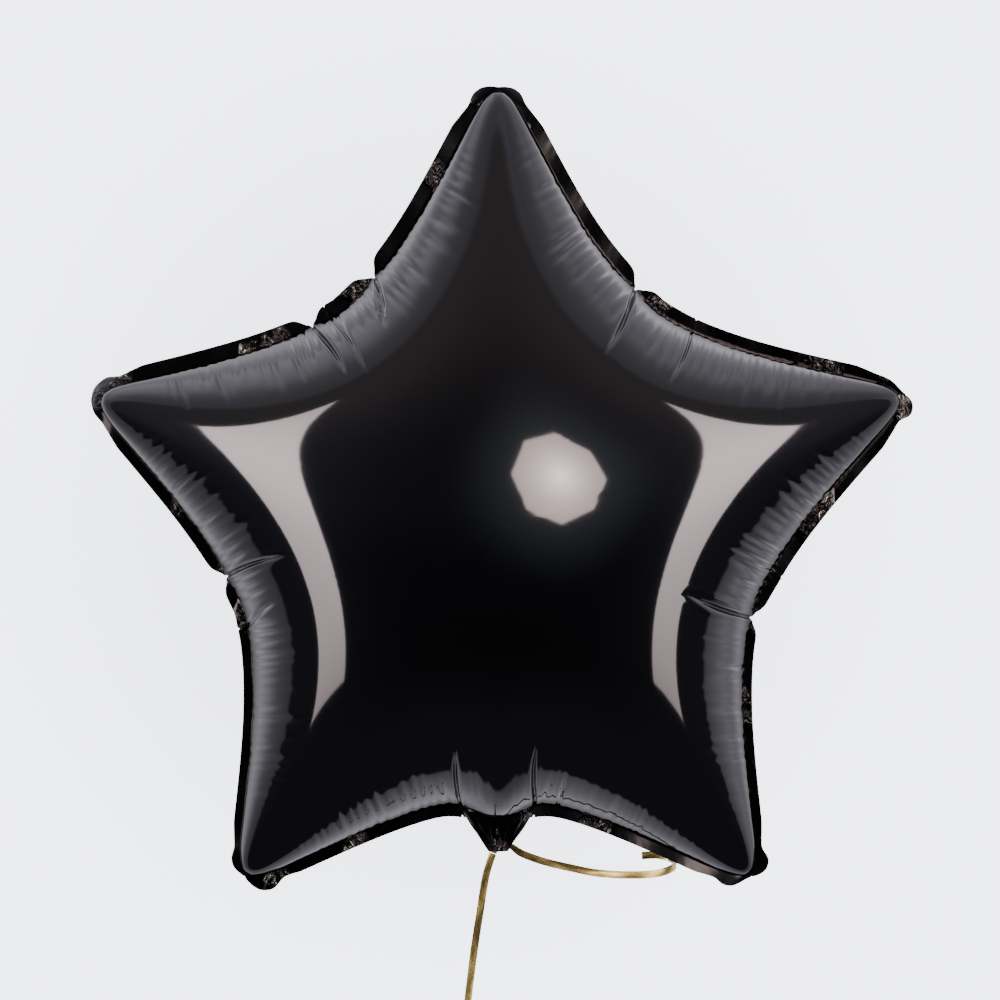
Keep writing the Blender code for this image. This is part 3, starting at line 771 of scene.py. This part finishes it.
def glowing(name, colour, strengths, shape):
    """A light-giving finish: strengths at shares of its size, evenly round or from foot to top."""
    made = bpy.data.materials.new(name)
    made.use_nodes = True
    tree = made.node_tree
    tree.nodes.clear()
    out = tree.nodes.new("ShaderNodeOutputMaterial")
    glow = node(tree, "ShaderNodeEmission", Color=colour)
    coords = tree.nodes.new("ShaderNodeTexCoord")
    if shape == "round":
        away = tree.nodes.new("ShaderNodeVectorMath")
        away.operation = "LENGTH"
        tree.links.new(coords.outputs["Object"], away.inputs[0])
        place = away.outputs["Value"]
        reach = (0.0, SOFTBOX_RADIUS)
    else:
        away = tree.nodes.new("ShaderNodeSeparateXYZ")
        tree.links.new(coords.outputs["Object"], away.inputs["Vector"])
        place = away.outputs["Y"]
        reach = (-0.5, 0.5)
    curve = node(tree, "ShaderNodeMapRange", From_Min=reach[0], From_Max=reach[1])
    tree.links.new(place, curve.inputs["Value"])
    ramp = tree.nodes.new("ShaderNodeFloatCurve")
    points = ramp.mapping.curves[0].points
    points[0].location = (0.0, strengths[0] / CURVE_TOP)
    points[1].location = (1.0, strengths[-1] / CURVE_TOP)
    for k, strength in enumerate(strengths[1:-1], 1):
        points.new(k / (len(strengths) - 1), strength / CURVE_TOP)
    ramp.mapping.update()
    tree.links.new(curve.outputs["Result"], ramp.inputs["Value"])
    scaled = tree.nodes.new("ShaderNodeMath")
    scaled.operation = "MULTIPLY"
    scaled.inputs[1].default_value = CURVE_TOP
    tree.links.new(ramp.outputs["Value"], scaled.inputs[0])
    tree.links.new(scaled.outputs["Value"], glow.inputs["Strength"])
    tree.links.new(glow.outputs["Emission"], out.inputs["Surface"])
    return made


wall_finish = bpy.data.materials.new("pale_wall")
wall_finish.use_nodes = True
tree = wall_finish.node_tree
tree.nodes.clear()
out = tree.nodes.new("ShaderNodeOutputMaterial")
paint = node(tree, "ShaderNodeBsdfDiffuse", Color=(0.80, 0.80, 0.83, 1))
glow = node(tree, "ShaderNodeEmission", Color=(0.86, 0.90, 1.0, 1), Strength=4.0)
place = tree.nodes.new("ShaderNodeNewGeometry")
centred = node(tree, "ShaderNodeMapping", Location=(0.03, 0.0, -0.19))
tree.links.new(place.outputs["Position"], centred.inputs["Vector"])
flat = tree.nodes.new("ShaderNodeVectorMath")
flat.operation = "MULTIPLY"
flat.inputs[1].default_value = (1.0, 0.0, 1.0)
tree.links.new(centred.outputs["Vector"], flat.inputs[0])
away = tree.nodes.new("ShaderNodeVectorMath")
away.operation = "LENGTH"
tree.links.new(flat.outputs["Vector"], away.inputs[0])
shadow = node(tree, "ShaderNodeMapRange", From_Min=0.14, From_Max=0.36, To_Min=2.9, To_Max=4.0)
shadow.interpolation_type = "SMOOTHSTEP"
tree.links.new(away.outputs["Value"], shadow.inputs["Value"])
tree.links.new(shadow.outputs["Result"], glow.inputs["Strength"])
lit = tree.nodes.new("ShaderNodeAddShader")
clear = tree.nodes.new("ShaderNodeBsdfTransparent")
facing = tree.nodes.new("ShaderNodeNewGeometry")
mix = tree.nodes.new("ShaderNodeMixShader")
tree.links.new(paint.outputs["BSDF"], lit.inputs[0])
tree.links.new(glow.outputs["Emission"], lit.inputs[1])
tree.links.new(facing.outputs["Backfacing"], mix.inputs["Fac"])
tree.links.new(lit.outputs["Shader"], mix.inputs[1])
tree.links.new(clear.outputs["BSDF"], mix.inputs[2])
tree.links.new(mix.outputs["Shader"], out.inputs["Surface"])
wall = stage_plane("wall", (6, 5), (0, WALL_DISTANCE, 0.6), (math.radians(90), 0, 0), wall_finish)
wall.visible_glossy = False

floor_finish, tree, shader = new_finish("pale_floor")
shader.inputs["Base Color"].default_value = (0.78, 0.78, 0.80, 1)
shader.inputs["Roughness"].default_value = 0.9
floor = stage_plane("floor", (9, 9), (0, 0, FLOOR_LEVEL), (0, 0, 0), floor_finish)
floor.visible_glossy = False

box_glow = glowing("softbox_glow", (1.0, 0.86, 0.78, 1), (17.0, 11.0, 7.5, 6.0), "round")
bpy.ops.mesh.primitive_circle_add(vertices=8, radius=SOFTBOX_RADIUS, fill_type="NGON",
                                  location=SOFTBOX_PLACE,
                                  rotation=(math.radians(-90), 0, 0))
softbox = bpy.context.object
softbox.name = "softbox"
softbox.data.materials.append(box_glow)
strip_glow = glowing("strip_glow", (1.0, 0.90, 0.86, 1), (2.8, 5.6, 8.5, 7.5, 4.5), "tall")
for name, side, strip_width in (("left_strip", -1, 0.37), ("right_strip", 1, 0.33)):
    strip_place = (side * STRIP_REACH * math.sin(STRIP_BEARING),
                   -STRIP_REACH * math.cos(STRIP_BEARING), STRIP_LEVEL)
    strip = stage_plane(name, (strip_width, STRIP_HEIGHT), strip_place,
                        (math.radians(90), 0, side * STRIP_BEARING + math.pi), strip_glow)
    for vertex in strip.data.vertices:
        if vertex.co.y > 0 and vertex.co.x * side < 0:
            vertex.co.y = OUTER_TOP
    strip.visible_camera = False
    strip.visible_shadow = False
softbox.visible_camera = False
softbox.visible_shadow = False

fill_data = bpy.data.lights.new("wall_light", "AREA")
fill_data.energy = 14
fill_data.size = 1.6
fill = bpy.data.objects.new("wall_light", fill_data)
fill.location = (0.5, -2.2, 1.7)
fill.rotation_euler = (math.radians(58), 0, math.radians(12))
fill.visible_glossy = False
bpy.context.scene.collection.objects.link(fill)

world = bpy.data.worlds.new("studio")
bpy.context.scene.world = world
world.use_nodes = True
tree = world.node_tree
tree.nodes.clear()
out = tree.nodes.new("ShaderNodeOutputWorld")
seen = node(tree, "ShaderNodeBackground", Color=(0.86, 0.90, 1.0, 1), Strength=4.0)
room = node(tree, "ShaderNodeBackground", Strength=1.0)
direction = tree.nodes.new("ShaderNodeTexCoord")
parts = tree.nodes.new("ShaderNodeSeparateXYZ")
tree.links.new(direction.outputs["Generated"], parts.inputs["Vector"])


def shaped(operation, first, second):
    """A Math node in the world's tree, on two values or sockets."""
    made = tree.nodes.new("ShaderNodeMath")
    made.operation = operation
    for socket, value in zip(made.inputs, (first, second)):
        if isinstance(value, (int, float)):
            socket.default_value = value
        else:
            tree.links.new(value, socket)
    return made.outputs["Value"]


def spread(value, low, high, to_low, to_high):
    """A smooth change, in the world's tree, of a value from one range to another."""
    made = node(tree, "ShaderNodeMapRange", From_Min=low, From_Max=high,
                To_Min=to_low, To_Max=to_high)
    made.interpolation_type = "SMOOTHSTEP"
    tree.links.new(value, made.inputs["Value"])
    return made.outputs["Result"]


# The pale room behind and beside the balloon, then the dark side round the camera
above = spread(parts.outputs["Z"], 0.0, 1.0, 0.0, 0.36)
below = spread(parts.outputs["Z"], 0.0, -1.0, 0.0, 0.16)
forward = shaped("SUBTRACT", shaped("SUBTRACT", below, above), parts.outputs["Y"])
pale_share = spread(forward, 0.225, 0.29, 1.0, 0.0)
faded = spread(forward, -0.9, 0.36, 1.0, 0.0)
faded.node.interpolation_type = "LINEAR"
pale_level = shaped("ADD", shaped("MULTIPLY", shaped("POWER", faded, 1.4), 2.1), 0.47)
far_side = spread(parts.outputs["Y"], 0.52, 0.95, 1.0, 0.09)
pale_level = shaped("MULTIPLY", pale_level, far_side)
panels = node(tree, "ShaderNodeTexNoise", Scale=1.7, Detail=0.0)
tree.links.new(direction.outputs["Generated"], panels.inputs["Vector"])
pale_level = shaped("MULTIPLY", pale_level, spread(panels.outputs["Fac"], 0.34, 0.66, 0.74, 1.20))
pale = node(tree, "ShaderNodeBackground", Color=(0.93, 0.93, 1.0, 1))
tree.links.new(pale_level, pale.inputs["Strength"])
tones = tree.nodes.new("ShaderNodeValToRGB")
ramp = tones.color_ramp
ramp.elements[0].position = 0.20
ramp.elements[0].color = (0.065, 0.068, 0.080, 1)
ramp.elements[1].position = 0.88
ramp.elements[1].color = (0.26, 0.235, 0.24, 1)
for position, colour in ((0.40, (0.10, 0.105, 0.13, 1)), (0.55, (0.17, 0.18, 0.215, 1)),
                         (0.74, (0.20, 0.20, 0.22, 1))):
    ramp.elements.new(position).color = colour
tree.links.new(spread(parts.outputs["Z"], -1.0, 1.0, 0.0, 1.0), tones.inputs["Fac"])
tree.links.new(tones.outputs["Color"], room.inputs["Color"])
ahead = shaped("MULTIPLY", parts.outputs["Y"], -1.0)
tree.links.new(spread(ahead, 0.62, 0.99, 1.0, 0.36), room.inputs["Strength"])
towards = tree.nodes.new("ShaderNodeVectorMath")
towards.operation = "DOT_PRODUCT"
towards.inputs[1].default_value = (0.209, -0.963, 0.177)
tree.links.new(direction.outputs["Generated"], towards.inputs[0])
halo = node(tree, "ShaderNodeBackground", Color=(0.80, 0.92, 1.0, 1))
near_box = spread(towards.outputs["Value"], 0.90, 0.99, 0.0, 1.0)
near_box.node.interpolation_type = "LINEAR"
halo_level = shaped("MULTIPLY", shaped("POWER", near_box, 3.0), 0.26)
tree.links.new(halo_level, halo.inputs["Strength"])
front = tree.nodes.new("ShaderNodeAddShader")
tree.links.new(room.outputs["Background"], front.inputs[0])
tree.links.new(halo.outputs["Background"], front.inputs[1])
round_about = tree.nodes.new("ShaderNodeMixShader")
tree.links.new(pale_share, round_about.inputs["Fac"])
tree.links.new(front.outputs["Shader"], round_about.inputs[1])
tree.links.new(pale.outputs["Background"], round_about.inputs[2])
path = tree.nodes.new("ShaderNodeLightPath")
mix = tree.nodes.new("ShaderNodeMixShader")
tree.links.new(path.outputs["Is Camera Ray"], mix.inputs["Fac"])
tree.links.new(round_about.outputs["Shader"], mix.inputs[1])
tree.links.new(seen.outputs["Background"], mix.inputs[2])
tree.links.new(mix.outputs["Shader"], out.inputs["Surface"])
